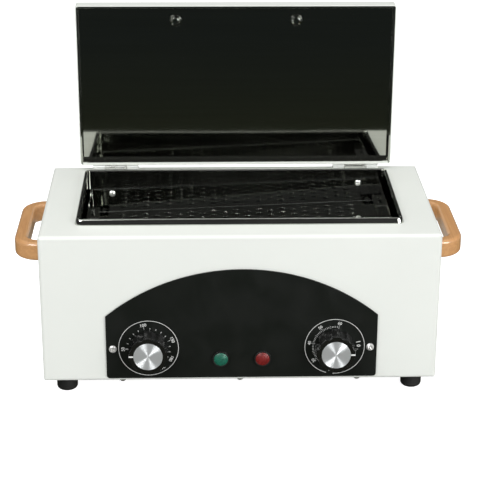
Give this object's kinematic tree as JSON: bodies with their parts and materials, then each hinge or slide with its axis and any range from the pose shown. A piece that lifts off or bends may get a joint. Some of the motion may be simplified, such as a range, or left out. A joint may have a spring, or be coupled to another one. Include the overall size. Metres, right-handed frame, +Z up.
{
  "type": "dry heat sterilizer",
  "caption": "Bench-top dry heat sterilizer: white steel box with a hinged mirror-lined lid, stainless chamber with a perforated tray, rotary controls and wooden handles.",
  "frame": {"origin": "on the standing surface, under the middle of the outline with the lid open", "axes": "+X to the object's right as seen from the front, +Y to the back, +Z up"},
  "size_m": [0.356, 0.2094, 0.278],
  "materials": {
    "white_enamel": "gloss enamel",
    "grey_enamel": "satin enamel",
    "polished_steel": "polished",
    "mirror_steel": "mirror polished",
    "zinc_steel": "zinc plated",
    "hinge_steel": "satin",
    "heater_sheath": "heat darkened",
    "black_panel": "satin black",
    "black_plastic": "satin black",
    "knob_black": "semi gloss black",
    "spun_aluminium": "spun",
    "green_lens": "clear tinted",
    "red_lens": "clear tinted",
    "rubber": "matte",
    "varnished_wood": "varnished",
    "mineral_wool": "fibrous",
    "brass": "plain",
    "copper": "plain",
    "ceramic": "matte",
    "grey_casing": "satin"
  },
  "bodies": {
    "case": {"housing": "white_enamel", "base_plate": "grey_enamel", "rear_panel": "white_enamel", "foot_front_left": "rubber", "foot_front_right": "rubber", "foot_rear_left": "rubber", "foot_rear_right": "rubber", "foot_screws": "zinc_steel", "foot_nuts": "zinc_steel", "base_screws": "zinc_steel", "rear_panel_screws": "zinc_steel", "chamber_liner": "polished_steel", "tray_rests": "polished_steel", "tray": "polished_steel", "tray_rivets": "zinc_steel", "heater_element": "heater_sheath", "heater_terminals": "ceramic", "heater_clips": "zinc_steel", "insulation_wrap": "mineral_wool", "insulation_base": "mineral_wool", "control_panel": "black_panel", "panel_screws": "zinc_steel", "thermostat": "grey_casing", "thermostat_bulb": "copper", "capillary_tube": "copper", "thermal_cutout": "black_plastic", "timer": "grey_casing", "control_nuts": "brass", "green_lamp": "black_plastic", "green_lens": "green_lens", "red_lamp": "black_plastic", "red_lens": "red_lens", "lamp_nuts": "black_plastic", "power_inlet": "black_plastic", "inlet_pins": "zinc_steel", "inlet_screws": "zinc_steel", "side_handle_left": "varnished_wood", "side_handle_right": "varnished_wood", "side_handle_screws": "zinc_steel", "hinge_base_left": "hinge_steel", "hinge_base_right": "hinge_steel", "hinge_pins": "zinc_steel", "hinge_screws": "zinc_steel"},
    "lid": {"hinge_leaf_left": "hinge_steel", "hinge_leaf_right": "hinge_steel", "hinge_rivets": "zinc_steel", "lid_shell": "white_enamel", "lid_lining": "mirror_steel", "lid_insulation": "mineral_wool", "lid_handle": "varnished_wood", "lid_handle_screws": "zinc_steel", "lid_handle_washers": "zinc_steel"},
    "temperature_control": {"temperature_knob": "knob_black", "temperature_knob_cap": "spun_aluminium", "temperature_spindle": "zinc_steel"},
    "timer_control": {"timer_knob": "knob_black", "timer_knob_cap": "spun_aluminium", "timer_spindle": "zinc_steel"}
  },
  "joints": [
    {"name": "lid_hinge", "type": "hinge", "parent": "case", "child": "lid", "pos_m": [0, 0.06675, 0.138], "axis": [1, 0, 0], "range_deg": [0, 90]},
    {"name": "temperature_turn", "type": "hinge", "parent": "case", "child": "temperature_control", "pos_m": [-0.0719, -0.09675, 0.0422], "axis": [0, 1, 0], "range_deg": [0, 210]},
    {"name": "timer_turn", "type": "hinge", "parent": "case", "child": "timer_control", "pos_m": [0.0741, -0.09675, 0.0422], "axis": [0, 1, 0], "range_deg": [-14, 275]}
  ]
}
